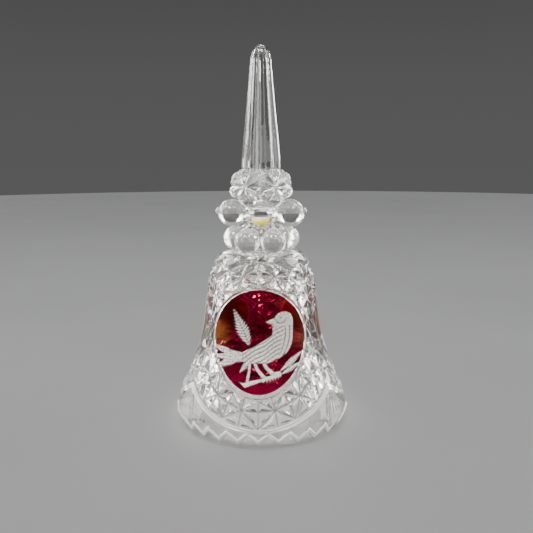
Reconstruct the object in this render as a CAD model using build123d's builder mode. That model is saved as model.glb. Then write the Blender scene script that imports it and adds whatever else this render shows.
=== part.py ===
from build123d import *
import os
from math import cos, radians, sin, tan

# A table bell of clear lead crystal with a solid spire handle, three ruby medallions
# and a crystal clapper on a chain. Millimetres, +Z up, origin on the table at the axis.
# Azimuths are counted from -Y (the front), counter-clockwise seen from above.

# ---- driving dimensions -----------------------------------------------------------
total_height = 171.0
shell_height = 78.0  # weld between the skirt pressing and the handle pressing
widest_radius = 40.6  # at the flare just above the teeth
widest_height = 6.2
rim_radius = 38.1  # outer radius at the tooth tips
shoulder_radius = 19.0  # outer radius at the weld
rim_wall = 4.2
body_wall = 4.6
dome_height = 72.5  # top of the cavity, where the hanger bore starts
sector_count = 3

tooth_count = 27
tooth_height = 4.4
tooth_flat = 0.6  # ground flat on each tip, where the bell stands

medallion_width = 39.8  # across the flat projection of the window
medallion_height = 44.0
medallion_centre = 43.5
stain_depth = 0.5  # stands for the stained skin of the glass

disc_thickness = 2.0
bore_radius = 4.6
bore_step = 86.0  # above this the bore narrows to hold the cement
socket_radius = 3.4
bore_top = 94.6
lower_bead_radius = 5.75
lower_bead_circle = 11.8
lower_bead_height = 85.0
lower_bead_count = 6
upper_bead_radius = 6.35
upper_bead_circle = 13.4
upper_bead_height = 96.6
upper_bead_count = 2
nub_radius = 2.0
nub_circle = 19.05
nub_height = 97.3
crossbar_radius = 4.7  # joins the two upper beads through the neck
neck_radius = 6.0
neck_bottom = 91.6
knob_sides = 12
spire_sides = 10
knob_bottom = 102.9
knob_top = 116.4

wire_radius = 0.5
link_length = 8.6  # between the wire centres at the two ends
link_width = 3.6  # between the wire centres of the two sides
link_count = 6
contact_gap = 0.05
hanger_height = 83.0  # wire centre at the bottom of the hanger eye
eye_radius = 1.7
plug_bottom = 90.0
plug_rounding = 2.8

bead_radius = 7.5
bead_height = 24.0
bead_sides = 10
cap_radius = 2.7  # a small metal cap sits on the ball's upper flat
cap_height = 1.4

os.makedirs("parts", exist_ok=True)


def facing(azimuth, distance=0.0, height=0.0):
    """A plane whose normal points outwards at this azimuth and whose y is up."""
    a = radians(azimuth)
    outward = Vector(sin(a), -cos(a), 0)
    origin = outward * distance + Vector(0, 0, height)
    return Plane(origin=origin, x_dir=(cos(a), sin(a), 0), z_dir=outward)


def save(piece, name):
    piece.part.label = name
    export_step(piece.part, f"parts/{name}.step")


# ---- the skirt's two curves -------------------------------------------------------
# Stations down the outside, from the shoulder to the tooth tips.
outer_stations = [
    (shoulder_radius, shell_height),
    (22.3, 72.7),
    (24.7, 66.3),
    (25.7, 59.0),
    (26.8, 48.5),
    (29.0, 37.2),
    (32.6, 27.0),
    (37.0, 17.4),
    (widest_radius - 0.9, 10.2),
    (widest_radius, widest_height),
    (rim_radius, 0.0),
]
# Stations up the cavity, from the mouth to the hanger bore.
inner_stations = [
    (rim_radius - rim_wall, 0.0),
    (widest_radius - body_wall - 0.7, widest_height),
    (33.6, 14.0),
    (28.1, 26.6),
    (24.4, 37.2),
    (22.2, 48.5),
    (21.1, 57.5),
    (19.3, 64.5),
    (15.0, 69.6),
    (bore_radius + 3.0, dome_height),
]


def skirt_blank():
    """The hollow pressing before its teeth and its stained windows are made."""
    with BuildPart() as blank:
        with BuildSketch(Plane.XZ):
            with BuildLine():
                outside = Spline(outer_stations)
                inside = Spline(inner_stations)
                Line(outside @ 1, inside @ 0)
                Polyline(
                    inside @ 1,
                    (bore_radius, dome_height),
                    (bore_radius, shell_height),
                    outside @ 0,
                )
            make_face()
        revolve(axis=Axis.Z)
    return blank.part


# ---- ruby medallions: the stained skin inside each oval frame ----------------------
def window_cutter(azimuth):
    """Everything outside the unstained glass, seen through one oval window."""
    with BuildPart() as cutter:
        with BuildSketch(facing(azimuth)):
            with Locations((0, medallion_centre)):
                Ellipse(medallion_width / 2, medallion_height / 2)
        extrude(amount=widest_radius + 2)
        with BuildSketch(Plane.XZ):
            with BuildLine():
                skin = Spline([(r - stain_depth, z) for r, z in outer_stations])
                Polyline(skin @ 0, (0, shell_height), (0, 0), skin @ 1)
            make_face()
        revolve(axis=Axis.Z, mode=Mode.SUBTRACT)
    return cutter.part


def medallion(azimuth):
    with BuildPart() as panel:
        add(skirt_blank())
        add(window_cutter(azimuth), mode=Mode.INTERSECT)
    return panel


sector = 360 / sector_count
ruby_panel_front = medallion(0)
ruby_panel_right = medallion(sector)
ruby_panel_left = medallion(-sector)
save(ruby_panel_front, "ruby_panel_front")
save(ruby_panel_right, "ruby_panel_right")
save(ruby_panel_left, "ruby_panel_left")

# ---- skirt: the hollow pressing that rings -----------------------------------------
tooth_pitch = 360 / tooth_count
notch_near = rim_radius - 2 * rim_wall
notch_far = widest_radius + 2.0


def notch_section(azimuth, radius):
    """One V between two teeth, widening with the radius so that every tooth is even."""
    half = radius * tan(radians(tooth_pitch / 2)) - tooth_flat / 2
    slope = half / tooth_height
    with BuildSketch(facing(azimuth, radius)) as section:
        with BuildLine():
            Polyline((-half - slope, -1.0), (0, tooth_height), (half + slope, -1.0), close=True)
        make_face()
    return section.sketch


with BuildPart() as bell_shell:
    add(skirt_blank())
    for azimuth in (0, sector, -sector):
        add(window_cutter(azimuth), mode=Mode.SUBTRACT)
    for i in range(tooth_count):
        middle = (i + 0.5) * tooth_pitch
        loft(
            [notch_section(middle, notch_near), notch_section(middle, notch_far)],
            mode=Mode.SUBTRACT,
        )
save(bell_shell, "bell_shell")

# ---- handle: disc, ring of beads, two side beads, knob and fluted spire, all one solid --
# Each station is the circumscribed radius and the height of a regular polygon.
knob_sections = [
    (11.4, knob_bottom),
    (14.0, 104.6),
    (14.8, 107.2),
    (14.6, 109.8),
    (13.2, 112.6),
    (9.2, knob_top),
]
spire_sections = [
    (9.2, knob_top),
    (8.8, 121.5),
    (7.9, 131.0),
    (6.75, 142.0),
    (5.6, 154.0),
    (4.8, 163.5),
]
tip_sections = [
    (4.8, 163.5),
    (4.3, 166.4),
    (2.9, 169.3),
    (0.8, total_height),
]

with BuildPart() as handle:
    with BuildSketch(Plane.XY.offset(shell_height)):
        Circle(shoulder_radius)
    extrude(amount=disc_thickness)
    with BuildSketch(Plane.XZ):
        with BuildLine():
            Polyline(
                (0, shell_height),
                (lower_bead_circle - 1.0, shell_height),
                (lower_bead_circle - 1.0, lower_bead_height + 3.6),
                (neck_radius + 1.6, neck_bottom - 1.4),
                (neck_radius, neck_bottom),
                (neck_radius, 97.2),
                (neck_radius + 0.7, 98.8),
                (9.9, 101.8),
                (10.9, knob_bottom + 0.4),
                (0, knob_bottom + 0.4),
                close=True,
            )
        make_face()
    revolve(axis=Axis.Z)
    with Locations(Plane.XY.offset(lower_bead_height)):
        with PolarLocations(lower_bead_circle, lower_bead_count):
            Sphere(lower_bead_radius)
    with Locations(Plane.XY.offset(upper_bead_height)):
        with PolarLocations(upper_bead_circle, upper_bead_count):
            Sphere(upper_bead_radius)
    with Locations(Plane.XY.offset(nub_height)):
        with PolarLocations(nub_circle, upper_bead_count):
            Sphere(nub_radius)
    with BuildSketch(facing(90, -upper_bead_circle, upper_bead_height)):
        Circle(crossbar_radius)
    extrude(amount=2 * upper_bead_circle)
    for sides, stack in (
        (knob_sides, knob_sections),
        (spire_sides, spire_sections),
        (spire_sides, tip_sections),
    ):
        for radius, height in stack:
            with BuildSketch(Plane.XY.offset(height)):
                RegularPolygon(radius, sides, rotation=90 - 180 / sides)
        loft(ruled=True)
    for radius, top in ((bore_radius, bore_step), (socket_radius, bore_top)):
        with BuildSketch(Plane.XY.offset(shell_height)):
            Circle(radius)
        extrude(amount=top - shell_height, mode=Mode.SUBTRACT)
save(handle, "handle")


# ---- hanger: a wire eye set in a plug of cement at the top of the bore --------------
def wire_loop(azimuth, bottom, length, width):
    """A closed oval of wire in the upright plane facing this azimuth.

    Bottom, length and width are those of the wire's centre line.
    """
    half_width = width / 2
    half_straight = (length - width) / 2
    plane = facing(azimuth, height=bottom + length / 2)
    with BuildPart() as loop:
        with BuildLine(plane):
            CenterArc((0, half_straight), half_width, 0, 180)
            CenterArc((0, -half_straight), half_width, 180, 180)
            if half_straight > 0:
                for side in (-half_width, half_width):
                    Line((side, half_straight), (side, -half_straight))
        start = plane.from_local_coords((half_width, 0, 0))
        with BuildSketch(Plane(origin=start, z_dir=(0, 0, 1))):
            Circle(wire_radius)
        sweep()
    return loop.part


hanger_foot = bore_top - 1.4
with BuildPart() as hanger_eye:
    add(wire_loop(0, hanger_height, 2 * eye_radius, 2 * eye_radius))
    with BuildSketch(Plane.XY.offset(hanger_height + 2 * eye_radius)):
        Circle(wire_radius)
    extrude(amount=hanger_foot - hanger_height - 2 * eye_radius)
save(hanger_eye, "hanger_eye")

with BuildPart() as clapper_plug:
    with BuildSketch(Plane.XY.offset(plug_bottom)):
        Circle(socket_radius)
    extrude(amount=bore_top - plug_bottom)
    fillet(clapper_plug.edges().group_by(Axis.Z)[0], plug_rounding)
    add(hanger_eye.part, mode=Mode.SUBTRACT)
save(clapper_plug, "clapper_plug")

# ---- chain: closed oval links, each turned a quarter turn from the last -------------
link_pitch = link_length - 2 * wire_radius - contact_gap

for index in range(1, link_count + 1):
    quarter_turn = 90 * (index % 2)  # link 1 hangs in the eye, square to it
    bottom = hanger_height - index * link_pitch
    with BuildPart() as link:
        add(wire_loop(quarter_turn, bottom, link_length, link_width))
    save(link, f"chain_link_{index}")

# ---- clapper: a faceted crystal ball on a wire pin with an eye ----------------------
last_wire = hanger_height - link_count * link_pitch
pin_eye_bottom = last_wire + 2 * wire_radius + contact_gap - 2 * eye_radius
bead_cut = radians(70)  # latitude of the flats where the pin goes through
bead_top = bead_height + bead_radius * sin(bead_cut)
bead_bottom = bead_height - bead_radius * sin(bead_cut)
pin_head_radius = 1.3
pin_head_height = 1.0

with BuildPart() as clapper_pin:
    add(wire_loop(90, pin_eye_bottom, 2 * eye_radius, 2 * eye_radius))
    with BuildSketch(Plane.XY.offset(bead_bottom)):
        Circle(wire_radius)
    extrude(amount=pin_eye_bottom - bead_bottom)
    with Locations((0, 0, bead_bottom - pin_head_height / 2)):
        Cylinder(pin_head_radius, pin_head_height)
    fillet(clapper_pin.edges().group_by(Axis.Z)[0].sort_by(SortBy.LENGTH)[-1], 0.4)
save(clapper_pin, "clapper_pin")

# The ball's sections: twisted half a facet at each level, as a cut crystal is.
with BuildPart() as clapper_bead:
    for level in (-1, -0.5, 0, 0.5, 1):
        latitude = level * bead_cut
        with BuildSketch(Plane.XY.offset(bead_height + bead_radius * sin(latitude))):
            RegularPolygon(bead_radius * cos(latitude), bead_sides)
    loft(ruled=True)
    with Locations((0, 0, bead_top)):
        Hole(wire_radius)
save(clapper_bead, "clapper_bead")

with BuildPart() as clapper_cap:
    with BuildSketch(Plane.XY.offset(bead_top)):
        Circle(cap_radius)
        Circle(wire_radius, mode=Mode.SUBTRACT)
    extrude(amount=cap_height)
    chamfer(clapper_cap.edges().group_by(Axis.Z)[-1].sort_by(SortBy.LENGTH)[-1], 0.9)
save(clapper_cap, "clapper_cap")
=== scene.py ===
from math import cos, pi, radians, sin, tau
import bmesh
import bpy
import numpy as np
from mathutils import Matrix, Vector
from mathutils.geometry import delaunay_2d_cdt


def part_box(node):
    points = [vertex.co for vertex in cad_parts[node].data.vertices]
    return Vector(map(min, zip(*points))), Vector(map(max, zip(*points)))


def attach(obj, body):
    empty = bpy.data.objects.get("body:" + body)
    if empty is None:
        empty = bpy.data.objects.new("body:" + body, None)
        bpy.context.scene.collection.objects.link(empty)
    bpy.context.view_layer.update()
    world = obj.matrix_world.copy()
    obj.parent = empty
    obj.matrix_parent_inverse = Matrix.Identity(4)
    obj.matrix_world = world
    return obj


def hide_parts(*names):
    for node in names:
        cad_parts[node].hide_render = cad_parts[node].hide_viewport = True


# Looks of a cut-crystal table bell. Shapes are worked out in millimetres and written in metres;
# lights are placed in metres. Azimuths are in degrees from -Y (the front), counter-clockwise
# seen from above.

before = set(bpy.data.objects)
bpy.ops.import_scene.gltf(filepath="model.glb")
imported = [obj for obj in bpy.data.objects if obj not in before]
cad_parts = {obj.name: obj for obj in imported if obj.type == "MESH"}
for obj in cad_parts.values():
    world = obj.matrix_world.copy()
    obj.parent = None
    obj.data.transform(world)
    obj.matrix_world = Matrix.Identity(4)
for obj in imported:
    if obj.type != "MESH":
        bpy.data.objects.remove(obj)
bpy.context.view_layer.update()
MM = 0.001

# ---- sizes read from the frame ----
_, shell_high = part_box("bell_shell")
_, handle_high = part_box("handle")
shell_top = shell_high[2] / MM
widest = shell_high[0] / MM
total_height = handle_high[2] / MM
window_low, window_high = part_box("ruby_panel_front")
window_half_width = (window_high[0] - window_low[0]) / 2 / MM
window_half_height = (window_high[2] - window_low[2]) / 2 / MM
window_centre = (window_high[2] + window_low[2]) / 2 / MM
_, plug_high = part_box("clapper_plug")
plug_radius = plug_high[0] / MM
plug_top = plug_high[2] / MM

# ---- driving dimensions of the looks (mm, degrees) ----
sector = 120.0
half_sector = sector / 2
tooth_count = 27
tooth_height = 4.4
tooth_blend = 9.0  # below this height the rows bend to follow the teeth
columns_per_tooth = 40
row_step = 0.21
weld_gap = 0.02

cut_depth = 1.55
cut_slope = 0.95
cut_rounding = 0.07  # radius at the bottom of a cut
frame_width = 1.8
frame_hollow = 0.08
frame_lip = 0.7
window_sink = 0.3
film_lift = 0.12  # the stain stands this far off the glass
film_root = 0.02  # and reaches this far into it
bird_sink = 0.1
bird_height = 0.45
swag_middle = 6.9
swag_corner = 20.4
swag_bend = 1.7
swag_half_width = 1.25
swag_sink = 0.12
swag_groove = 0.3
swag_groove_share = 0.28
swag_edge_drop = 0.55
plain_sink = 0.75
leaf_rise = 1.9
leaf_groove = 0.5
tooth_bevel = 0.3
tooth_border = 1.3
tooth_cosine = 0.71

# ---- painted shade: how far the crystal's colour is darkened down in its cuts and on some plain parts, 0 to 1 ----
groove_line = 0.25  # half width of the line of painted shade down a cut, mm, and of the milky line on the knob's cuts
leaf_line_width = 0.32
painted_leaf_edge_shade = 0.8
painted_swag_edge_shade = 0.5
painted_margin_shade = 0.45  # painted shade on the clear margin over the teeth
painted_spire_shade = 0.25

# ---- how hazy and how milky its surfaces are, as multiples of facet_haze and milkiness ----
inside_worked = 2.2
most_worked = 1.5
star_milky = 1.5
plain_milky = 0.5
swag_milky = 6.0
leaf_milky = 5.0
ground_milky = 15.0
knob_milky = 1.0
knob_line_milky = 4.5
nub_milky = 4.0
ring_milky = 3.2
side_bead_milky = 1.0


def smooth_stretch(a, b, c, d, t):
    """Points from b to c, at shares t of the way, on the smooth curve through a, b, c and d."""
    return 0.5 * (
        2 * b + (c - a) * t + (2 * a - 5 * b + 4 * c - d) * t**2 + (3 * b - a - 3 * c + d) * t**3
    )


def station_curve(stations, step):
    """Points every step along a smooth curve through the stations, with unit tangents."""
    p = np.array(stations, float)
    p = np.vstack([2 * p[0] - p[1], p, 2 * p[-1] - p[-2]])
    t = np.linspace(0, 1, 60, endpoint=False)[:, None]
    dense = [smooth_stretch(a, b, c, d, t) for a, b, c, d in zip(p, p[1:], p[2:], p[3:])]
    dense = np.vstack(dense + [p[-2][None]])
    length = np.concatenate([[0], np.cumsum(np.hypot(*np.diff(dense, axis=0).T))])
    at = np.linspace(0, length[-1], int(round(length[-1] / step)) + 1)
    curve = np.stack([np.interp(at, length, dense[:, k]) for k in (0, 1)], 1)
    tangent = np.gradient(curve, axis=0)
    tangent /= np.linalg.norm(tangent, axis=1)[:, None]
    return curve, tangent


# Radius and height down the outside of the skirt, and up its cavity.
outer_stations = [
    (19.0, shell_top),
    (22.3, 72.7),
    (24.7, 66.3),
    (25.7, 59.0),
    (26.8, 48.5),
    (29.0, 37.2),
    (32.6, 27.0),
    (37.0, 17.4),
    (widest - 0.9, 10.2),
    (widest, 6.2),
    (38.1, 0.0),
]
inner_stations = [
    (33.9, 0.0),
    (widest - 5.3, 6.2),
    (33.6, 14.0),
    (28.1, 26.6),
    (24.4, 37.2),
    (22.2, 48.5),
    (21.1, 57.5),
    (19.3, 64.5),
    (15.0, 69.6),
    (7.6, 72.5),
]

# ---- the cut pattern of half a sector: points as (azimuth, height) ----
points = {
    "low_top": (0, 19.3), "low_mid": (0, 15.0), "low_foot": (0, 8.3),
    "star1": (11.6, 15.6), "star1_up": (9.6, 20.4), "star1_down": (12.6, 9.4),
    "v12_up": (19.0, 22.0), "v12_mid": (21.8, 17.7), "v12_down": (24.6, 11.6),
    "star2": (31.6, 20.3), "star2_up": (27.0, 25.2), "star2_down": (36.6, 14.5),
    "v23_up": (35.2, 28.9), "v23_mid": (39.4, 23.6), "v23_down": (43.6, 17.2),
    "star3": (46.8, 27.0), "star3_in": (42.6, 33.0), "star3_out": (52.2, 20.0),
    "edge0": (60, 20.4), "edge1": (60, 28.2), "edge2": (60, 35.6), "edge3": (60, 43.5),
    "edge4": (60, 51.6), "edge5": (60, 59.4), "edge6": (60, 67.2), "edge7": (60, 75.6),
    "side1": (50.6, 34.2), "side2": (52.2, 39.6), "side3": (52.4, 47.6), "side4": (49.6, 55.5),
    "star4": (43.6, 63.6), "star4_up": (50.0, 68.5), "star4_in": (37.6, 58.5),
    "v45_up": (41.0, 73.2), "v45_mid": (33.5, 68.6), "v45_down": (26.8, 64.4),
    "star5": (18.2, 71.2), "star5_up": (22.5, 76.8), "star5_down": (14.0, 66.6),
    "high_top": (0, 77.9), "high_mid": (0, 71.6), "high_foot": (0, 67.0),
}
rays = {
    "star1": "low_top low_mid low_foot star1_up star1_down v12_up v12_mid v12_down",
    "low_mid": "low_top low_foot",
    "star2": "v12_up v12_mid v12_down star2_up star2_down v23_up v23_mid v23_down",
    "v12_mid": "v12_up v12_down",
    "star3": "v23_up v23_mid v23_down star3_in star3_out side1 edge0 edge1",
    "v23_mid": "v23_up v23_down",
    "edge1": "edge0 edge2 side1",
    "edge2": "side1 side2 edge3",
    "edge3": "side2 side3 edge4",
    "edge4": "side3 side4 edge5",
    "edge5": "side4 star4 star4_up edge6",
    "edge6": "star4 star4_up edge7 v45_up",
    "star4": "side4 star4_up star4_in v45_up v45_mid v45_down",
    "v45_mid": "v45_up v45_down",
    "star5": "high_top high_mid high_foot star5_up star5_down v45_up v45_mid v45_down",
    "high_mid": "high_top high_foot",
    "star5_up": "high_top v45_up",
    "v45_up": "edge7",
}
grooves = [(points[a], points[b]) for a, ends in rays.items() for b in ends.split()]


def segment_distance(azimuth, height, per_degree, steepness, ends):
    """Distance over the surface to a straight cut, with the local scale of each point."""
    (a0, z0), (a1, z1) = ends
    x, y = (azimuth - a0) * per_degree, (height - z0) / steepness
    lx, ly = (a1 - a0) * per_degree, (z1 - z0) / steepness
    along = np.clip((x * lx + y * ly) / (lx**2 + ly**2), 0, 1)
    return np.hypot(x - along * lx, y - along * ly)


def petals_at(azimuth, height, per_degree, steepness):
    """Swell of the leaves that spread from the swags' corner, and distance to their midribs."""
    swell, midrib = np.zeros_like(azimuth), np.full_like(azimuth, 99.0)
    apex = (half_sector, swag_corner + 0.4)
    for turn, foot, half_width in ((0.0, 1.6, 2.2), (6.2, 2.4, 2.1), (11.6, 5.2, 1.7)):
        x = (azimuth - apex[0]) * per_degree
        y = (height - apex[1]) / steepness
        lx = -turn * per_degree
        ly = (foot - apex[1]) / steepness
        length = np.hypot(lx, ly)
        along = (x * lx + y * ly) / length**2
        across = np.abs(x * ly - y * lx) / length
        width = half_width * np.clip(np.sin(pi * np.clip(along, 0, 1) ** 0.85), 1e-3, 1) ** 0.7 + 1e-3
        held = (along > 0) & (along < 1) & (across < width)
        share = np.where(held, 1 - across / width, 0)
        better = share > swell
        swell = np.where(better, share, swell)
        midrib = np.where(better, across, midrib)
    return swell, midrib


def relief(azimuth, height, radius, tangent, tooth_edge):
    """Depth of the cut surface under the envelope in a half sector, and how it looks there."""
    per_degree = radians(1) * radius
    steepness = np.clip(np.abs(tangent[..., 1]), 0.35, 1)
    cut = np.full(azimuth.shape, 99.0)
    for ends in grooves:
        cut = np.minimum(cut, segment_distance(azimuth, height, per_degree, steepness, ends))

    # the oval window and the plain frame around it
    x = radius * np.sin(np.radians(azimuth))
    a2, b2 = window_half_width**2, window_half_height**2
    lift = height - window_centre
    oval = np.sqrt(x**2 / a2 + lift**2 / b2) + 1e-9
    grad_s = x * np.cos(np.radians(azimuth)) / a2 / oval
    grad_t = (x * np.sin(np.radians(azimuth)) * tangent[..., 0] / a2 + lift * tangent[..., 1] / b2) / oval
    window = (oval - 1) / np.maximum(np.hypot(grad_s, grad_t), 0.012)

    # the swag, a curve from corner to corner below the window
    turn = np.abs(azimuth) / half_sector
    swag_height = swag_middle + (swag_corner - swag_middle) * turn**swag_bend
    slant = (swag_corner - swag_middle) * swag_bend * turn ** (swag_bend - 1) / half_sector / per_degree
    swag = (height - swag_height) / np.hypot(slant, steepness)
    on_swag, below, stars = np.abs(swag) < swag_half_width, swag < -swag_half_width, window > frame_width

    # painted shade: a dark line down the middle of each cut among the stars
    line = np.exp(-((cut / groove_line) ** 2)) * stars
    cut = np.minimum(cut, np.minimum(np.abs(window - frame_width), np.abs(swag - swag_half_width)))
    cut = np.sqrt(cut**2 + cut_rounding**2) - cut_rounding
    star = cut_depth - np.minimum(cut_slope * cut, cut_depth)
    band = np.clip(window / frame_width, 0, 1) * 2 - 1
    depth = np.where(stars, star, frame_hollow + frame_lip * band**6)
    depth = np.where(window < 0, window_sink, depth)

    ridge = np.clip(swag / swag_half_width, -1, 1)
    groove = swag_groove * np.exp(-((ridge / swag_groove_share) ** 2))
    depth = np.where(on_swag, swag_sink + groove + swag_edge_drop * ridge**8, depth)

    # leaves, and a raised border that runs along the saw teeth
    swell, midrib = petals_at(azimuth, height, per_degree, steepness)
    leaf = plain_sink * (1 - np.minimum(1, leaf_rise * swell))
    leaf = leaf + leaf_groove * np.exp(-((midrib / 0.35) ** 2)) * (swell > 0.25)
    border = np.clip(((height - tooth_edge) * tooth_cosine - tooth_border) / 0.45, 0, 1)
    depth = np.where(below, np.minimum(leaf, plain_sink * border), depth)

    # painted shade along the leaves' midribs and edges, on the plain margin and beside the swag
    leaf_line = np.exp(-((midrib / leaf_line_width) ** 2)) * (swell > 0.2)
    leaf_line = np.maximum(leaf_line, painted_leaf_edge_shade * ((swell > 0.0) & (swell < 0.14)))
    leaf_line = np.maximum(leaf_line, painted_margin_shade * (swell <= 0.0) * (border >= 1))
    line = np.where(below, leaf_line, np.where(on_swag, painted_swag_edge_shade * ridge**8, line))

    milky = np.where(stars, star_milky, plain_milky)
    milky = np.where(on_swag, swag_milky, milky)
    milky = np.where(below, np.maximum(leaf_milky * (swell > 0.02), ground_milky * (border < 0.6)), milky)
    milky = np.where(window < 0, 0.0, milky)
    return depth, np.minimum(milky, most_worked), milky, line


# ---- mesh helpers ----
def mesh_object(name, vertices, faces):
    mesh = bpy.data.meshes.new(name)
    mesh.from_pydata(vertices, [], faces)
    mesh.update()
    mesh.shade_smooth()
    piece = bpy.data.objects.new(name, mesh)
    bpy.context.scene.collection.objects.link(piece)
    return piece


def mark_surface(mesh, **marks):
    """Store a number at each point, such as how worked or how milky it is, or how much painted shade it has.
    """
    for name, values in marks.items():
        layer = mesh.attributes.new(name, "FLOAT", "POINT")
        layer.data.foreach_set("value", np.asarray(values, np.float32).ravel())


def ring_faces(rows, columns, closed):
    """Quads of a grid whose columns go round, and whose rows may close too."""
    k, j = np.meshgrid(np.arange(rows if closed else rows - 1), np.arange(columns), indexing="ij")
    below, beside = (k + 1) % rows, (j + 1) % columns
    quads = [k * columns + j, below * columns + j, below * columns + beside, k * columns + beside]
    return np.stack(quads, -1).reshape(-1, 4)


def polar(azimuth, radius, height):
    a = np.radians(azimuth)
    return np.stack([radius * np.sin(a), -radius * np.cos(a), height * np.ones_like(a)], -1) * MM


def build_shell():
    columns = tooth_count * columns_per_tooth
    azimuth = np.arange(columns) * 360 / columns
    folded = np.abs((azimuth + half_sector) % sector - half_sector)
    tooth = np.abs((azimuth * tooth_count / 360 + 0.5) % 1 - 0.5) * 2
    edge = tooth_height * tooth

    def bend(height):
        """Rows near the mouth follow the saw teeth."""
        low = edge[None] + height[:, None] * (tooth_blend - edge[None]) / tooth_blend
        return np.where(height[:, None] < tooth_blend, low, height[:, None])

    outer, tangent = station_curve(outer_stations, row_step)
    down = outer[::-1]
    height = bend(outer[:, 1])
    radius = np.interp(height, down[:, 1], down[:, 0])
    slope = np.stack([np.interp(height, down[:, 1], tangent[::-1, k]) for k in (0, 1)], -1)
    spread = np.broadcast_to(folded[None], height.shape)
    depth, worked, milky, line = relief(spread, height, radius, slope, edge[None])
    depth = depth * np.clip((shell_top - height) / 0.6, 0, 1)
    radius = radius + depth * slope[..., 1]
    height = height - depth * slope[..., 0] * np.clip((height - edge[None]) / 2, 0, 1)
    rows, marks = [], []

    def add_rows(row_radius, row_height, *row_marks):
        turns = np.broadcast_to(azimuth[None], row_height.shape)
        rows.append(polar(turns, row_radius, row_height))
        marks.append([np.broadcast_to(mark, row_height.shape) for mark in row_marks])

    # outside, with the foot of the teeth bevelled all along the saw line
    height[-1] = edge + tooth_bevel
    add_rows(radius, height, worked, milky, line)
    add_rows(radius[-1:] - tooth_bevel, edge[None], most_worked, ground_milky, 0.0)

    inner, _ = station_curve(inner_stations, 1.6)
    inner_height = bend(inner[:, 1])
    inner_radius = np.interp(inner_height, inner[:, 1], inner[:, 0])
    add_rows(inner_radius[:1] + tooth_bevel, inner_height[:1], most_worked, ground_milky, 0.0)
    inner_height[0] += tooth_bevel
    add_rows(inner_radius, inner_height, inside_worked, 0.0, 0.0)
    throat = bore_radius
    for r, z in ((throat, 72.9), (throat, shell_top - 2.0), (throat, shell_top), (throat + 6, shell_top)):
        add_rows(np.full((1, columns), r), np.full((1, columns), z), 0.0, 0.0, 0.0)
    grid = np.concatenate(rows)
    count = len(grid)
    piece = mesh_object("skirt", grid.reshape(-1, 3), ring_faces(count, columns, True).tolist())
    # haze, milk and painted shade at every point
    worked, milky, line = (np.concatenate(each) for each in zip(*marks))
    mark_surface(piece.data, worked=worked, milky=milky, line=line)
    return piece, len(outer), columns


def sharpen_rings(mesh, columns, rings, spokes=()):
    """Keep a crease along whole rings, and across (ring, every so many columns) spokes."""
    ends = np.zeros(len(mesh.edges) * 2, np.int64)
    mesh.edges.foreach_get("vertices", ends)
    ends = ends.reshape(-1, 2)
    row, column = ends // columns, ends % columns
    sharp = (row[:, 0] == row[:, 1]) & np.isin(row[:, 0], rings)
    for ring, every in spokes:
        across = (row.min(1) == ring) & (row.max(1) == ring + 1) & (column[:, 0] == column[:, 1])
        sharp |= across & (column[:, 0] % every == 0)
    layer = mesh.attributes.new("sharp_edge", "BOOLEAN", "EDGE")
    layer.data.foreach_set("value", sharp)


def capped_lathe(name, grid):
    """A closed mesh from rings of points, with a single point at each end."""
    rings, columns = grid.shape[:2]
    count = rings * columns
    poles = [grid[0].mean(0), grid[-1].mean(0)]
    faces = ring_faces(rings, columns, False).tolist()
    for j in range(columns):
        k = (j + 1) % columns
        faces.append([count, j, k])
        faces.append([count + 1, (rings - 1) * columns + k, (rings - 1) * columns + j])
    return mesh_object(name, np.vstack([grid.reshape(-1, 3), poles]), faces)


def union(piece, others):
    for other in others:
        cut = piece.modifiers.new("union", "BOOLEAN")
        cut.operation, cut.solver, cut.object = "UNION", "MANIFOLD", other
    bpy.context.view_layer.update()
    solid = bpy.data.meshes.new_from_object(piece.evaluated_get(bpy.context.evaluated_depsgraph_get()))
    piece.modifiers.clear()
    piece.data = solid
    for other in others:
        bpy.data.objects.remove(other)


def bead(azimuth, circle, height, radius):
    """A pressed ball, faintly wider along its mould seam."""
    bm = bmesh.new()
    bmesh.ops.create_icosphere(bm, subdivisions=6, radius=radius * MM)
    centre = Vector(polar(np.array(azimuth), circle, height))
    for v in bm.verts:
        seam = 1 + seam_rise * max(0.0, 1 - abs(v.co.z) / (seam_half_height * MM))
        v.co = Vector((v.co.x * seam, v.co.y * seam, v.co.z)) + centre
    mesh = bpy.data.meshes.new("bead")
    bm.to_mesh(mesh)
    bm.free()
    piece = bpy.data.objects.new("bead", mesh)
    bpy.context.scene.collection.objects.link(piece)
    return piece


def crossbar():
    """The waisted bar through the neck that carries the two side beads."""
    along = np.linspace(-upper_beads[2], upper_beads[2], 61)
    radius = crossbar_radius + 1.5 * np.clip((np.abs(np.abs(along) - 8.0) - 0.4) / 2.4, 0, 1) ** 2
    turn = np.linspace(0, tau, 96, endpoint=False)
    grid = np.stack([
        along[:, None] * np.ones_like(turn), radius[:, None] * np.cos(turn), radius[:, None] * np.sin(turn)
    ], -1)
    return capped_lathe("crossbar", (grid + (0, 0, upper_beads[3])) * MM)


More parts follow.
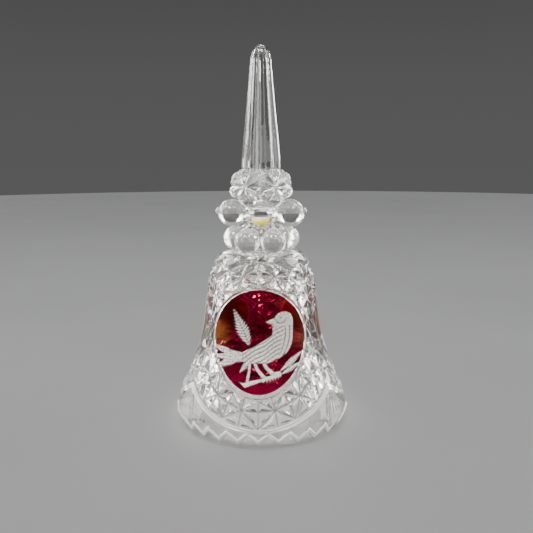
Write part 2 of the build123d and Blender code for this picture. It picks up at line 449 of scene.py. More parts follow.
# ---- handle: disc, ring of beads, side beads, star-cut knob and fluted spire ----
knob_stations = [
    (10.6, 102.9), (13.4, 104.3), (14.7, 106.8), (14.75, 109.3), (13.9, 112.0), (12.0, 114.6),
    (9.3, 116.3),
]
knob_foot, knob_equator, knob_top = 102.9, 109.3, 116.4
knob_star_turn = 30
knob_cut_depth = 1.4
knob_cut_slope = 0.85
knob_cut_rounding = 0.1
knob_cut_ends = (115.6, 103.6)  # heights at which the cuts above and below the equator end
spire_stations = [
    (9.0, 116.4), (8.75, 121.5), (7.9, 131.0), (6.75, 142.0), (5.6, 154.0), (4.8, 163.0),
    (4.25, 166.2), (3.4, 168.6), (2.2, 170.2), (1.0, 170.85), (0.2, total_height - 0.03),
]
flute_count = 10
flute_dip = 0.09
flute_turn = 6
lower_beads = (6, 30, 11.8, shell_top + 7.0, 5.75)  # count, first azimuth, circle, height, radius
upper_beads = (2, 90, 13.4, shell_top + 18.6, 6.35)
nubs = (2, 90, 19.05, shell_top + 19.3, 2.0)
seam_rise = 0.012
seam_half_height = 0.25
crossbar_radius = 3.7
bore_radius = 4.55
bore_step = 86.0
socket_radius = plug_radius - 0.05
disc_radius = 18.6

# zones of the handle that look different: from this height, to this height, beyond this radius
knob_zone = (103.2, 116.2, 8.6)
nub_zone = (93, 100, 19.7)
ring_zone = (79, 91, 12.2)
side_bead_zone = (89, 104, 9)
spire_foot = 116.6


def knob_cuts():
    """Straight cuts that meet in stars round the equator and in crosses between them."""
    ends = []
    for k in range(-2, 8):
        star, cross = knob_star_turn + 60 * k, 60 * k
        for z in knob_cut_ends:
            ends.append(((star, knob_equator), (star, z)))
            ends.append(((cross, knob_equator), (cross, z)))
            ends.append(((star, knob_equator), (cross, z)))
            ends.append(((star, knob_equator), (cross + 60, z)))
        ends.append(((star, knob_equator), (star + 60, knob_equator)))
    return ends


def knob_distance(turn, height, radius, steepness):
    """Distance over the knob to its nearest cut."""
    cut = np.full(turn.shape, 99.0)
    for ends in knob_cuts():
        cut = np.minimum(cut, segment_distance(turn, height, radians(1) * radius, steepness, ends))
    return cut


def in_zone(height, radius, zone):
    low, high, least_radius = zone
    return (height > low) & (height < high) & (radius > least_radius)


def mark_handle(mesh):
    """Haze and milk of the knob's facets and the pressed beads, and painted shade over the spire."""
    place = np.zeros(len(mesh.vertices) * 3)
    mesh.vertices.foreach_get("co", place)
    x, y, z = place.reshape(-1, 3).T / MM
    radius, turn = np.hypot(x, y) + 1e-6, np.degrees(np.arctan2(x, -y)) % 360
    knob = in_zone(z, radius, knob_zone)
    line = np.exp(-((knob_distance(turn, z, radius, np.full_like(z, 0.8)) / groove_line) ** 2))
    nub = in_zone(z, radius, nub_zone)
    ring = in_zone(z, radius, ring_zone)
    side_bead = in_zone(z, radius, side_bead_zone) & ~knob & ~nub
    milky = knob * (knob_milky + knob_line_milky * line)
    milky = milky + nub_milky * nub + ring_milky * ring + side_bead_milky * side_bead
    # painted shade darkens the colour of the whole spire
    mark_surface(mesh, worked=1.0 * knob, milky=milky, line=painted_spire_shade * (z > spire_foot))


def build_handle():
    columns = 360
    azimuth = np.arange(columns) * 360 / columns

    spire, _ = station_curve(spire_stations, 0.6)
    spire = spire[::-1]
    r, z = spire[:, :1], spire[:, 1:]
    half = 180 / flute_count
    across = (azimuth + flute_turn) % (2 * half) / half - 1
    chord = cos(radians(half)) / np.cos(np.radians(across * half))
    fade = np.clip((total_height - 0.3 - z) / 7, 0, 1) ** 0.6
    flute = 1 - (1 - (chord - flute_dip * (1 - across**2))[None]) * fade
    rows = [polar(np.broadcast_to(azimuth, (len(r), columns)), r * flute, z * np.ones_like(flute))]

    knob, tangent = station_curve(knob_stations, 0.2)
    knob, tangent = knob[::-1], -tangent[::-1]
    turn = np.broadcast_to(azimuth[None], (len(knob), columns))
    height = np.broadcast_to(knob[:, 1:], turn.shape)
    radius = np.broadcast_to(knob[:, :1], turn.shape)
    steepness = np.broadcast_to(np.clip(np.abs(tangent[:, 1:]), 0.55, 1), turn.shape)
    cut = knob_distance(turn, height, radius, steepness)
    cut = np.sqrt(cut**2 + knob_cut_rounding**2) - knob_cut_rounding
    depth = knob_cut_depth - np.minimum(knob_cut_slope * cut, knob_cut_depth)
    depth = depth * np.clip((knob[:, 1:] - knob_foot) / 0.8, 0, 1)
    depth = depth * np.clip((knob_top - knob[:, 1:]) / 0.8, 0, 1)
    rows.append(polar(turn, radius + depth * tangent[:, 1:], height - depth * tangent[:, :1]))

    low = shell_top - weld_gap
    collar = [
        (10.4, 102.6), (9.6, 101.5), (7.9, 99.9), (6.75, 98.7), (6.15, 97.6), (6.0, 96.4), (6.0, 92.0),
        (6.3, 91.1), (7.3, 90.2), (9.0, 89.2), (10.4, 88.2), (10.8, 87.0), (10.8, 82.0), (11.4, 80.8),
        (12.6, 80.2),
        (disc_radius - 3.4, 79.9), (disc_radius - 1.6, 79.5), (disc_radius - 0.5, 78.9), (disc_radius, 78.2),
        (disc_radius, low), (bore_radius, low), (bore_radius, bore_step), (socket_radius, bore_step),
        (socket_radius, plug_top - 0.04), (socket_radius - 0.3, plug_top - 0.01), (0.3, plug_top - 0.01),
    ]
    for r, z in collar:
        rows.append(polar(azimuth[None], np.full((1, columns), r), np.full((1, columns), z)))
    piece = capped_lathe("spire_handle", np.concatenate(rows))
    beads = [crossbar()]
    for count, start, circle, height, radius in (lower_beads, upper_beads, nubs):
        for k in range(count):
            beads.append(bead(start + k * 360 / count, circle, height, radius))
    union(piece, beads)
    piece.data.shade_smooth()
    piece.data.set_sharp_from_angle(angle=radians(38))
    mark_handle(piece.data)
    return piece


# ---- engraved songbird: outlines in millimetres about the middle of a window ----
fern_line = (-4.1, -2.0), (-11.2, 13.2)
fern_width = 7.2
fern_barbs = 11
fern_share = 0.84  # how much of its length carries barbs
neck_height = 6.0  # over it the bird has the cuts of its head
eye_place = (9.4, 9.6)
eye_radius = 0.7
cheek_radius = 2.4


def smooth_outline(corners, step=0.45):
    """A closed rounded outline through a few corner points."""
    p = np.array(corners, float)
    loop = []
    for k in range(len(p)):
        a, b, c, d = (p[(k + i) % len(p)] for i in (-1, 0, 1, 2))
        count = max(2, int(np.hypot(*(c - b)) / step))
        t = np.linspace(0, 1, count, endpoint=False)[:, None]
        loop.append(smooth_stretch(a, b, c, d, t))
    return np.vstack(loop)


def leaf_outline(base, tip, width, skew=0.5):
    """A pointed leaf from base to tip."""
    base, tip = np.array(base, float), np.array(tip, float)
    t = np.linspace(0, 1, 15)[:, None]
    side = np.array([tip[1] - base[1], base[0] - tip[0]])
    side /= np.hypot(*side)
    swell = np.sin(pi * t ** (skew + 0.3)) ** 0.85 * width / 2
    spine = base + (tip - base) * t
    return np.vstack([spine + side * swell, (spine - side * swell)[-2:0:-1]])


def fern_outline(base, tip, width, barbs):
    """A frond with swept barbs on both sides and a short bare stem."""
    base, tip = np.array(base, float), np.array(tip, float)
    along = tip - base
    length = np.hypot(*along)
    along /= length
    side = np.array([along[1], -along[0]])
    right, left = [base + side * 0.5], [base - side * 0.5]
    pitch = length * fern_share / barbs
    for k in range(barbs):
        share = (k + 0.5) / barbs
        reach = width / 2 * (1 - 0.88 * max(0, (share - 0.3) / 0.7) ** 1.4) * min(1, 0.72 + share)
        foot = length * 0.15 + pitch * k
        for edge, sign in ((right, 1), (left, -1)):
            edge.append(base + along * foot + side * sign * reach * 0.66)
            edge.append(base + along * (foot + 0.95 * pitch) + side * sign * reach)
    return np.vstack(right + [tip] + left[::-1])


def twig_outline():
    """A twig rising to the right whose underside is nicked like bark."""
    top = [
        (-9.0, -17.0), (-6.6, -17.4), (-4.0, -16.5), (1.6, -15.4), (2.6, -14.7), (5.2, -14.3), (7.0, -12.9),
        (9.6, -12.6),
    ]
    nicks = []
    start, end, count = np.array((9.7, -16.2)), np.array((2.4, -18.0)), 6
    for k in range(count):
        a = start + (end - start) * k / count
        b = start + (end - start) * (k + 0.5) / count
        nicks += [tuple(a + (0, -0.2)), tuple(b + (0.1, 1.3))]
    return np.array(top + [(10.1, -14.0)] + nicks + [(2.2, -17.6), (1.4, -17.0), (-6.0, -19.6)])


def songbird():
    """Every outline of the engraving, grouped by how it is cut."""
    body = smooth_outline([
        (5.6, 5.4), (5.8, 7.8), (7.0, 10.4), (8.6, 12.0), (10.6, 12.4), (12.8, 11.9), (14.3, 10.2),
        (14.9, 7.4), (14.9, 3.0), (14.7, -1.2), (13.6, -4.0), (11.6, -6.2), (8.2, -8.2), (4.4, -9.6),
        (1.2, -9.6), (-2.6, -9.8), (-6.0, -9.4), (-8.6, -8.8), (-8.6, -6.4), (-6.6, -4.6), (-2.8, -2.6),
        (1.6, -0.1), (5.2, 2.2), (5.7, 3.6),
    ])
    beak = np.array([(6.4, 9.8), (5.2, 9.4), (2.6, 8.1), (4.3, 7.0), (6.0, 6.7), (8.0, 8.2)])
    tail = [
        leaf_outline((-7.4, -6.2), (-20.2, -4.3), 2.9, 1.1),
        leaf_outline((-7.4, -7.2), (-20.1, -8.3), 2.7, 1.1),
        leaf_outline((-7.4, -8.0), (-19.2, -12.0), 2.9, 1.1),
        np.array([(-7.0, -5.0), (-11.4, -4.6), (-15.8, -5.0), (-16.0, -11.0), (-11.4, -9.9), (-7.0, -9.2)]),
    ]
    legs = [
        np.array([(-4.8, -9.2), (-3.0, -9.2), (-3.4, -13.2), (-4.2, -17.2), (-5.8, -17.2), (-4.9, -13.0)]),
        np.array([(-2.6, -9.4), (-0.8, -9.4), (0.2, -11.6), (3.4, -14.8), (1.6, -15.8), (-1.6, -12.2)]),
        np.array([(1.2, -9.4), (3.2, -9.2), (4.4, -11.0), (7.2, -13.2), (5.6, -14.8), (2.4, -11.6)]),
    ]
    under_leaf = leaf_outline((-4.4, -8.8), (-8.5, -13.8), 2.6, 0.4)
    leaves = [
        leaf_outline((8.8, -13.2), (19.3, -5.6), 2.8, 0.75),
        leaf_outline((9.2, -14.4), (18.2, -10.2), 2.5, 0.8),
    ]
    fern = fern_outline(*fern_line, fern_width, fern_barbs)
    return {
        "body": [body], "beak": [beak], "tail": tail, "legs": legs,
        "under": [under_leaf], "leaves": leaves, "fern": [fern], "twig": [twig_outline()],
    }


def inside(points2, loop):
    """Which points lie within a closed outline."""
    x, y = points2[:, 0], points2[:, 1]
    hit = np.zeros(len(x), bool)
    for (x0, y0), (x1, y1) in zip(loop, np.roll(loop, -1, 0)):
        crosses = (y0 > y) != (y1 > y)
        if y1 != y0:
            hit ^= crosses & (x < (x1 - x0) * (y - y0) / (y1 - y0) + x0)
    return hit


def outline_distance(points2, loop):
    """Distance from each point to a closed outline."""
    best = np.full(len(points2), 99.0)
    for a, b in zip(loop, np.roll(loop, -1, 0)):
        d = b - a
        t = np.clip(((points2 - a) @ d) / max(d @ d, 1e-9), 0, 1)
        best = np.minimum(best, np.hypot(*(points2 - a - t[:, None] * d).T))
    return best


def wave(value, pitch):
    """A row of rounded cuts."""
    return np.abs(np.sin(pi * value / pitch))


def carving(points2, shapes):
    """Height of the engraved relief over the window, 0 to 1."""
    x, y = points2[:, 0], points2[:, 1]
    total = np.zeros(len(x))
    for name, loops in shapes.items():
        for loop in loops:
            held = inside(points2, loop)
            if not held.any():
                continue
            p = points2[held]
            edge = np.clip(outline_distance(p, loop) / 0.45, 0, 1)
            px, py = p[:, 0], p[:, 1]
            if name == "body":
                lean = py * cos(radians(30)) - px * sin(radians(30)) + 0.25 * np.sin(px * 0.7)
                breast = np.clip((px - 9.4 - 0.2 * py) / 1.6, 0, 1)
                flank = wave(lean, 1.55) ** 0.7
                down = wave(px + 0.03 * (py - 3) ** 2, 1.9) ** 0.7
                eye = np.hypot(px - eye_place[0], py - eye_place[1])
                cheek = np.where(py < 9.2, np.clip(np.abs(eye - cheek_radius) / 0.45, 0, 1), 1)
                crown = np.where(py > 10.9, wave(px + 0.5 * py, 1.5) ** 0.6, 1)
                crown = crown * cheek * np.clip(eye / eye_radius, 0, 1)
                cuts = np.where(py > neck_height, crown, flank * (1 - breast) + down * breast)
            elif name == "fern":
                foot, tip = (np.array(end) for end in fern_line)
                axis = (tip - foot) / np.hypot(*(tip - foot))
                run = (p - foot) @ axis
                off = (p - foot) @ np.array((axis[1], -axis[0]))
                barb = fern_share * np.hypot(*(tip - foot)) / fern_barbs
                cuts = wave(run - 0.5 * np.abs(off), barb) ** 0.8 * np.clip(np.abs(off) / 0.3, 0.3, 1)
            elif name == "tail":
                fan = np.degrees(np.arctan2(py + 7.2, -(px - 1.0)))
                cuts = wave(fan + 1.3, 4.6) ** 0.6
            elif name in ("leaves", "under"):
                a, b = loop[0], loop[len(loop) // 2]
                axis = (b - a) / max(np.hypot(*(b - a)), 1e-6)
                off = (p - a) @ np.array((axis[1], -axis[0]))
                cuts = wave(off + 0.6, 1.2) ** 0.6
            else:
                cuts = np.ones(len(p)) * 0.9
            total[held] = np.maximum(total[held], edge * (0.25 + 0.75 * cuts))
    return total


def triangulate(shapes, margin=0.12):
    """One set of triangles over the window, told apart as engraving or as stain."""
    coords, edges = [], []

    def add_loop(loop):
        start = len(coords)
        coords.extend(Vector(p) for p in loop)
        edges.extend((start + k, start + (k + 1) % len(loop)) for k in range(len(loop)))

    turn = np.linspace(0, tau, 180, endpoint=False)
    a, b = window_half_width - margin, window_half_height - margin
    add_loop(np.stack([a * np.sin(turn), b * np.cos(turn)], 1))
    loops = [loop for group in shapes.values() for loop in group]
    for loop in loops:
        add_loop(loop)
    for pitch, engraved in ((0.25, True), (1.1, False)):
        gx, gy = np.meshgrid(np.arange(-a, a, pitch), np.arange(-b, b, pitch * 0.87))
        gx = gx + (np.arange(gx.shape[0]) % 2)[:, None] * pitch / 2
        grid = np.stack([gx.ravel(), gy.ravel()], 1)
        grid = grid[(grid[:, 0] / a) ** 2 + (grid[:, 1] / b) ** 2 < 0.98]
        held = np.zeros(len(grid), bool)
        near = np.full(len(grid), 99.0)
        for loop in loops:
            held |= inside(grid, loop)
            near = np.minimum(near, outline_distance(grid, loop))
        grid = grid[(held == engraved) & (near > pitch * 0.4)]
        coords.extend(Vector(p) for p in grid)
    verts, _, faces, *_ = delaunay_2d_cdt(coords, edges, [], 0, 1e-5)
    verts = np.array([tuple(v) for v in verts])
    faces = np.array(faces)
    middle = verts[faces].mean(1)
    keep = (middle[:, 0] / a) ** 2 + (middle[:, 1] / b) ** 2 < 1
    faces, middle = faces[keep], middle[keep]
    cut = np.zeros(len(faces), bool)
    for loop in loops:
        cut |= inside(middle, loop)
    return verts, faces[cut], faces[~cut]


def window_point(flat, sink, azimuth):
    """Wrap a flat point of the window on the skirt, this far under the envelope."""
    down, _ = envelope
    z = window_centre + flat[:, 1]
    radius = np.interp(z, down[::-1, 1], down[::-1, 0]) - sink
    x = flat[:, 0]
    y = -np.sqrt(radius**2 - x**2)
    c, s = cos(radians(azimuth)), sin(radians(azimuth))
    return np.stack([x * c - y * s, x * s + y * c, z], 1) * MM


def slab(name, flat, faces, top, bottom, tone, azimuth):
    """A closed sheet over some of the window's triangles."""
    used, index = np.unique(faces, return_inverse=True)
    faces = index.reshape(-1, 3)
    flat, count = flat[used], len(used)
    lift = top[used] if np.ndim(top) else top
    points3 = np.vstack([window_point(flat, lift, azimuth), window_point(flat, bottom, azimuth)])
    sides = np.concatenate([faces[:, [0, 1]], faces[:, [1, 2]], faces[:, [2, 0]]])
    key = {tuple(e) for e in sides.tolist()}
    walls = [[a, a + count, b + count, b] for a, b in sorted(key) if (b, a) not in key]
    quads = faces.tolist() + (faces[:, ::-1] + count).tolist() + walls
    piece = mesh_object(name, points3, quads)
    piece.data.set_sharp_from_angle(angle=radians(50))
    mark_surface(piece.data, carved=np.tile(tone[used], 2))
    return piece


envelope = station_curve(outer_stations, 0.3)

# ---- materials ----
def new_material(name):
    material = bpy.data.materials.new(name)
    material.use_nodes = True
    nodes, links = material.node_tree.nodes, material.node_tree.links
    return material, nodes, links, nodes["Principled BSDF"]


def feed(links, value, socket):
    """Link a socket to another node's output, or set it to a constant."""
    if isinstance(value, bpy.types.NodeSocket):
        links.new(value, socket)
    else:
        socket.default_value = value


def attribute(nodes, name):
    """The number stored under a name at each point of a mesh."""
    mark = nodes.new("ShaderNodeAttribute")
    mark.attribute_name = name
    return mark.outputs["Fac"]


def scaled(nodes, links, value, factor, start):
    """A value times a factor, added to a start."""
    sum_node = nodes.new("ShaderNodeMath")
    sum_node.operation = "MULTIPLY_ADD"
    for each, socket in zip((value, factor, start), sum_node.inputs):
        feed(links, each, socket)
    return sum_node.outputs["Value"]


def blend(nodes, links, share, first, second, kind="MIX"):
    """A share of the second colour over the first."""
    mix = nodes.new("ShaderNodeMix")
    mix.data_type, mix.blend_type = "RGBA", kind
    feed(links, share, mix.inputs["Factor"])
    feed(links, first, mix.inputs[6])
    feed(links, second, mix.inputs[7])
    return mix.outputs[2]


def colour_ramp(nodes, links, value, stops, interpolation="LINEAR"):
    """Colours at stops along a value."""
    ramp = nodes.new("ShaderNodeValToRGB")
    ramp.color_ramp.interpolation = interpolation
    elements = ramp.color_ramp.elements
    for k, (at, colour) in enumerate(stops):
        element = elements[k] if k < 2 else elements.new(at)
        element.position = at
        element.color = (*colour, 1)
    links.new(value, ramp.inputs["Fac"])
    return ramp.outputs["Color"]


def cloud(nodes, links, scale, detail):
    """Noise that stays with the object."""
    place = nodes.new("ShaderNodeTexCoord")
    texture = nodes.new("ShaderNodeTexNoise")
    texture.inputs["Scale"].default_value = scale
    texture.inputs["Detail"].default_value = detail
    links.new(place.outputs["Object"], texture.inputs["Vector"])
    return texture.outputs["Fac"]


def noise(nodes, links, scale, detail, low, high, to_low, to_high):
    """Noise mapped to a range of values."""
    remap = nodes.new("ShaderNodeMapRange")
    for name, value in zip(("From Min", "From Max", "To Min", "To Max"), (low, high, to_low, to_high)):
        remap.inputs[name].default_value = value
    links.new(cloud(nodes, links, scale, detail), remap.inputs["Value"])
    return remap.outputs["Result"]


def wavy(nodes, links, shader, scale, strength, distance=0.0002):
    bump = nodes.new("ShaderNodeBump")
    bump.inputs["Strength"].default_value = strength
    bump.inputs["Distance"].default_value = distance
    links.new(cloud(nodes, links, scale, 2), bump.inputs["Height"])
    links.new(bump.outputs["Normal"], shader.inputs["Normal"])


def crystal(name, tint, index=1.56, ripple=0.25):
    """Clear crystal with a faint ripple and a trace of handling haze."""
    material, nodes, links, shader = new_material(name)
    shader.inputs["Base Color"].default_value = (*tint, 1)
    shader.inputs["IOR"].default_value = index
    shader.inputs["Transmission Weight"].default_value = 1
    haze = noise(nodes, links, scale=90, detail=3, low=0.45, high=0.75, to_low=0.0, to_high=0.035)
    links.new(haze, shader.inputs["Roughness"])
    wavy(nodes, links, shader, scale=260, strength=ripple)
    return material


def cut_crystal(name, tint, facet_haze, milkiness):
    """Pressed crystal, duller and milkier where it is worked, with painted shade darkening its colour down
    in its cuts and wherever else the mesh marks it.
    """
    material = crystal(name, tint)
    nodes, links = material.node_tree.nodes, material.node_tree.links
    shader = nodes["Principled BSDF"]
    haze = shader.inputs["Roughness"].links[0].from_socket
    # painted shade: the tint turns dark brown as far as the mesh marks it
    colour = blend(nodes, links, attribute(nodes, "line"), (*tint, 1), (0.14, 0.115, 0.095, 1))
    links.new(colour, shader.inputs["Base Color"])
    dull = scaled(nodes, links, attribute(nodes, "worked"), facet_haze, haze)
    links.new(dull, shader.inputs["Roughness"])
    clear_share = scaled(nodes, links, attribute(nodes, "milky"), -milkiness, 1)
    links.new(clear_share, shader.inputs["Transmission Weight"])
    return material


def ruby_stain(name, index):
    """Fired ruby skin: deep red, thinner and amber in patches, with a golden gloss."""
    material, nodes, links, shader = new_material(name)
    shader.inputs["Specular Tint"].default_value = (1.0, 0.4, 0.16, 1)
    shader.inputs["Specular IOR Level"].default_value = 0.3
    shader.inputs["IOR"].default_value = index
    patch = noise(nodes, links, scale=55, detail=4, low=0.35, high=0.72, to_low=0, to_high=1)
    reds = [(0.0, (0.2, 0.0, 0.02)), (0.75, (0.42, 0.0, 0.05)), (1.0, (0.75, 0.09, 0.04))]
    red = colour_ramp(nodes, links, patch, reds)
    worn = nodes.new("ShaderNodeMath")
    worn.operation = "MULTIPLY"
    worn.use_clamp = True
    spread = noise(nodes, links, scale=80, detail=2, low=0.4, high=0.6, to_low=0.2, to_high=1.3)
    links.new(attribute(nodes, "carved"), worn.inputs[0])
    links.new(spread, worn.inputs[1])
    amber = blend(nodes, links, worn.outputs["Value"], red, (0.95, 0.32, 0.08, 1))
    links.new(amber, shader.inputs["Base Color"])
    clear_share = scaled(nodes, links, worn.outputs["Value"], -0.45, 1.0)
    links.new(clear_share, shader.inputs["Transmission Weight"])
    haze = noise(nodes, links, scale=300, detail=3, low=0.4, high=0.8, to_low=0.01, to_high=0.05)
    links.new(haze, shader.inputs["Roughness"])
    wavy(nodes, links, shader, scale=300, strength=0.2)
    return material


def frosted(name):
    """Crystal engraved through the stain, matt on its ridges, with painted shade making it dark down in its
    cuts.
    """
    material, nodes, links, shader = new_material(name)
    # painted shade: dark red-brown at the bottom of the engraved cuts, pale on the ridges
    tones_with_painted_shade = [(0.35, (0.12, 0.05, 0.05)), (0.85, (0.97, 0.94, 0.88))]
    tone = colour_ramp(nodes, links, attribute(nodes, "carved"), tones_with_painted_shade)
    links.new(tone, shader.inputs["Base Color"])
    shader.inputs["IOR"].default_value = 1.53
    shader.inputs["Transmission Weight"].default_value = 0.55
    haze = noise(nodes, links, scale=900, detail=4, low=0.3, high=0.7, to_low=0.2, to_high=0.4)
    links.new(haze, shader.inputs["Roughness"])
    wavy(nodes, links, shader, scale=2600, strength=0.35, distance=0.0001)
    return material


def cement(name):
    """Yellow cement that holds the hanger, with a painted highlight that turns it near white towards its
    top.
    """
    material, nodes, links, shader = new_material(name)
    patch = noise(nodes, links, scale=700, detail=4, low=0.3, high=0.7, to_low=0.0, to_high=0.2)
    place = nodes.new("ShaderNodeTexCoord")
    split = nodes.new("ShaderNodeSeparateXYZ")
    links.new(place.outputs["Generated"], split.inputs["Vector"])
    level = nodes.new("ShaderNodeMath")
    level.operation = "ADD"
    links.new(split.outputs["Z"], level.inputs[0])
    links.new(patch, level.inputs[1])
    # painted highlight: the top of the cement is paled as if lit from above
    yellows_with_painted_top_light = [(0.78, (0.9, 0.8, 0.01)), (0.92, (0.98, 0.97, 0.85))]
    yellow = colour_ramp(nodes, links, level.outputs["Value"], yellows_with_painted_top_light)
    links.new(yellow, shader.inputs["Base Color"])
    shader.inputs["Roughness"].default_value = 0.7
    wavy(nodes, links, shader, scale=900, strength=0.5)
    return material


def wire(name):
    """Bright drawn wire with fine draw marks."""
    material, nodes, links, shader = new_material(name)
    shader.inputs["Base Color"].default_value = (0.82, 0.81, 0.79, 1)
    shader.inputs["Metallic"].default_value = 1
    haze = noise(nodes, links, scale=1500, detail=3, low=0.3, high=0.7, to_low=0.08, to_high=0.28)
    links.new(haze, shader.inputs["Roughness"])
    wavy(nodes, links, shader, scale=3000, strength=0.1, distance=0.00005)
    return material


def pale_floor(name):
    """Plain pale studio floor."""
    material, nodes, links, shader = new_material(name)
    patch = noise(nodes, links, scale=6, detail=4, low=0.3, high=0.7, to_low=0, to_high=1)
    greys = [(0.0, (0.74, 0.745, 0.75)), (1.0, (0.79, 0.795, 0.8))]
    links.new(colour_ramp(nodes, links, patch, greys), shader.inputs["Base Color"])
    shader.inputs["Roughness"].default_value = 0.55
    return material


def dress(piece, material):
    piece.data.materials.clear()
    piece.data.materials.append(material)


def redress(node, material):
    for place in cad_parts[node].material_slots:
        place.material = material


# ---- the pieces ----
clear = cut_crystal("clear_crystal", (0.985, 0.98, 0.945), facet_haze=0.01, milkiness=0.05)
clapper_glass = crystal("clapper_crystal", (0.97, 0.98, 0.97))
stain = ruby_stain("ruby_stain", 1.3)
buried_stain = ruby_stain("ruby_stain_in_the_glass", 1.01)
matt = frosted("engraved_crystal")
steel = wire("bright_wire")
putty = cement("yellow_cement")

skirt, outer_rows, ring_columns = build_shell()
rim_rings = [outer_rows + k for k in (-1, 0, 1, 2)]
sharpen_rings(
    skirt.data, ring_columns, [0] + rim_rings, [(ring, columns_per_tooth // 2) for ring in rim_rings[:3]]
)
dress(skirt, clear)
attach(skirt, "bell")
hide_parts("bell_shell")

spire_handle = build_handle()
dress(spire_handle, clear)
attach(spire_handle, "bell")
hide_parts("handle")

shapes = songbird()
flat, engraved, stained = triangulate(shapes)
carved = carving(flat, shapes)
# the stain is thin and amber along both sides of a window, most of all a little over its middle
across = np.abs(flat[:, 0]) / window_half_width
thin = np.clip((across - 0.62) / 0.3, 0, 1) * np.clip(1.3 - np.abs(flat[:, 1] - 4) / 7, 0, 1)
films = []
for turn, side in ((0, "front"), (sector, "right"), (-sector, "left")):
    top, root = window_sink - film_lift, window_sink + film_root
    film = slab(f"ruby_film_{side}", flat, stained, top, root, thin, turn)
    dress(film, stain)
    film.data.materials.append(buried_stain)  # its underside, which lies in the glass
    for face in film.data.polygons[len(stained):2 * len(stained)]:
        face.material_index = 1
    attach(film, "bell")
    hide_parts(f"ruby_panel_{side}")
    films.append(film)
    top = window_sink + bird_sink - bird_height * carved
    bird = slab(f"engraved_bird_{side}", flat, engraved, top, root, carved, turn)
    dress(bird, matt)
    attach(bird, "bell")

redress("clapper_plug", putty)
redress("clapper_bead", clapper_glass)
for node in ["hanger_eye", "clapper_pin", "clapper_cap"] + [f"chain_link_{k}" for k in range(1, 7)]:
    redress(node, steel)

# ---- floor, light and camera ----
floor_radius = 1.6


def build_floor():
    """A wide plain floor with a softly turned edge."""
    turn = np.linspace(0, tau, 128, endpoint=False)
    edge = 0.006
    steps = [(floor_radius * k / 6, 0.0) for k in range(1, 6)]
    steps += [(floor_radius - edge + edge * sin(a), edge * (cos(a) - 1)) for a in np.linspace(0, pi / 2, 7)]
    steps.append((floor_radius, -0.02))
    grid = np.array([[(r * cos(t), r * sin(t), z) for t in turn] for r, z in steps])
    return capped_lathe("floor", grid)


floor = build_floor()
dress(floor, pale_floor("pale_floor"))


def grey_ramp(nodes, links, value, low, high, stops):
    """A smooth grey ramp over a value."""
    reach = nodes.new("ShaderNodeMapRange")
    reach.inputs["From Min"].default_value = low
    reach.inputs["From Max"].default_value = high
    links.new(value, reach.inputs["Value"])
    greys = [(at, (level, level, level)) for at, level in stops]
    return colour_ramp(nodes, links, reach.outputs["Result"], greys, "EASE")


# grey levels from low to high, or from the camera to the far side
tent_level = 0.55
tent_stops = [(0.0, 0.3), (0.3, tent_level), (0.75, tent_level * 0.8), (1.0, tent_level * 0.5)]
front_stops = [(0.0, 0.35), (1.0, 1.0)]
backdrop_stops = [(0.0, 0.16), (0.5, 0.1), (1.0, 0.04)]
backdrop_edge = (0.84, 0.905)


def studio_world():
    """A white tent of light with a plain grey backdrop behind."""
    world = bpy.data.worlds.new("studio")
    world.use_nodes = True
    nodes, links = world.node_tree.nodes, world.node_tree.links
    place = nodes.new("ShaderNodeTexCoord")
    split = nodes.new("ShaderNodeSeparateXYZ")
    links.new(place.outputs["Generated"], split.inputs["Vector"])
    up, away = split.outputs["Z"], split.outputs["Y"]
    backdrop = grey_ramp(nodes, links, up, -0.5, 0.5, backdrop_stops)
    tent = grey_ramp(nodes, links, up, -0.5, 1.0, tent_stops)
    behind = grey_ramp(nodes, links, away, *backdrop_edge, [(0.0, 0.0), (1.0, 1.0)])
    front = grey_ramp(nodes, links, away, -1.0, 0.2, front_stops)
    dimmed = blend(nodes, links, 1, tent, front, "MULTIPLY")
    links.new(blend(nodes, links, behind, dimmed, backdrop), nodes["Background"].inputs["Color"])
    return world


bpy.context.scene.world = studio_world()


def reach_of(name, pieces, state):
    """A light's reach, which leaves out some pieces as a studio flag would, or has only them."""
    reach = bpy.data.collections.new(name)
    for piece in pieces:
        reach.objects.link(piece)
    for entry in reach.collection_objects:
        entry.light_linking.link_state = state
    return reach


def softbox(name, place, width, height, radiance, reach=None):
    """A soft panel turned to the bell, which lights everything or only what is in its reach."""
    data = bpy.data.lights.new(name, "AREA")
    data.shape, data.size, data.size_y = "RECTANGLE", width, height
    data.energy = radiance * pi * width * height
    lamp = bpy.data.objects.new(name, data)
    lamp.location = place
    lamp.rotation_euler = (Vector((0, 0, aim_height)) - Vector(place)).to_track_quat("-Z", "Y").to_euler()
    bpy.context.scene.collection.objects.link(lamp)
    if reach:
        lamp.light_linking.receiver_collection = reach
    return lamp


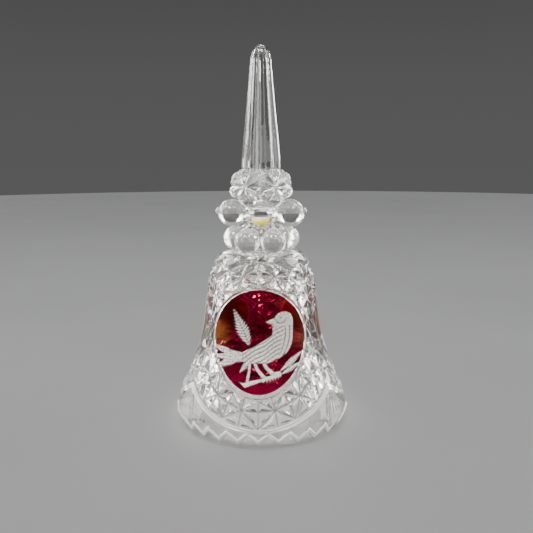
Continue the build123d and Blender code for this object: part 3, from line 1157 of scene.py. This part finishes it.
off_stain = reach_of("off_the_floor_and_stain", [floor] + films, "EXCLUDE")
on_cement = reach_of("on_the_cement", [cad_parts["clapper_plug"]], "INCLUDE")
aim_height = 0.08
softbox("overhead", (-0.05, 0.1, 0.85), 0.3, 0.3, 6.0)
for name, place, width, height, radiance in [
    ("side_left", (-0.6, 0.1, 0.25), 0.35, 0.6, 6.0),
    ("side_right", (0.6, 0.1, 0.25), 0.35, 0.6, 6.0),
    ("back_left", (-0.5, 0.6, 0.3), 0.3, 0.3, 7.0),
    ("back_right", (0.5, 0.6, 0.3), 0.3, 0.3, 7.0),
    ("front_left", (-0.55, -0.5, 0.25), 0.3, 0.3, 4.0),
    ("front_right", (0.6, -0.4, 0.2), 0.2, 0.25, 3.0),
    ("key_high", (-0.28, -0.5, 0.75), 0.22, 0.22, 45.0),
]:
    softbox(name, place, width, height, radiance, off_stain)

# small bright panels all round, as (azimuth, elevation), which make the facets sparkle
small_panels = [(30, 48), (-80, 45), (85, 60), (-150, 22), (145, 26), (-112, 15), (118, 12)]
panel_distance = 0.8
panel_size = 0.2
panel_radiance = 26.0
for k, (turn, lift) in enumerate(small_panels):
    a, e = radians(turn), radians(lift)
    out = panel_distance * cos(e)
    place = (out * sin(a), -out * cos(a), aim_height + panel_distance * sin(e))
    softbox(f"panel_{k}", place, panel_size, panel_size, panel_radiance, off_stain)

# stands in for the light that the glass of the neck gathers on the cement
glow = softbox("cement_light", (-0.1, -0.6, 0.25), 0.3, 0.3, 20.0, on_cement)
glow.light_linking.blocker_collection = on_cement

camera_place = (15.2, -320.65, 128.1)  # mm
camera_turn = 2.3
camera_tilt = 80.0
camera_roll = -0.17
camera_data = bpy.data.cameras.new("camera")
camera_data.lens = 47.28
camera_data.sensor_width = 36.0
camera = bpy.data.objects.new("camera", camera_data)
camera.matrix_world = (
    Matrix.Translation(Vector(camera_place) * MM)
    @ Matrix.Rotation(radians(camera_turn), 4, "Z")
    @ Matrix.Rotation(radians(camera_tilt), 4, "X")
    @ Matrix.Rotation(radians(camera_roll), 4, "Z")
)
bpy.context.scene.collection.objects.link(camera)
bpy.context.scene.camera = camera
light_bounces = 24  # a ray meets many walls of crystal
bpy.context.scene.cycles.max_bounces = light_bounces
bpy.context.scene.cycles.transmission_bounces = light_bounces
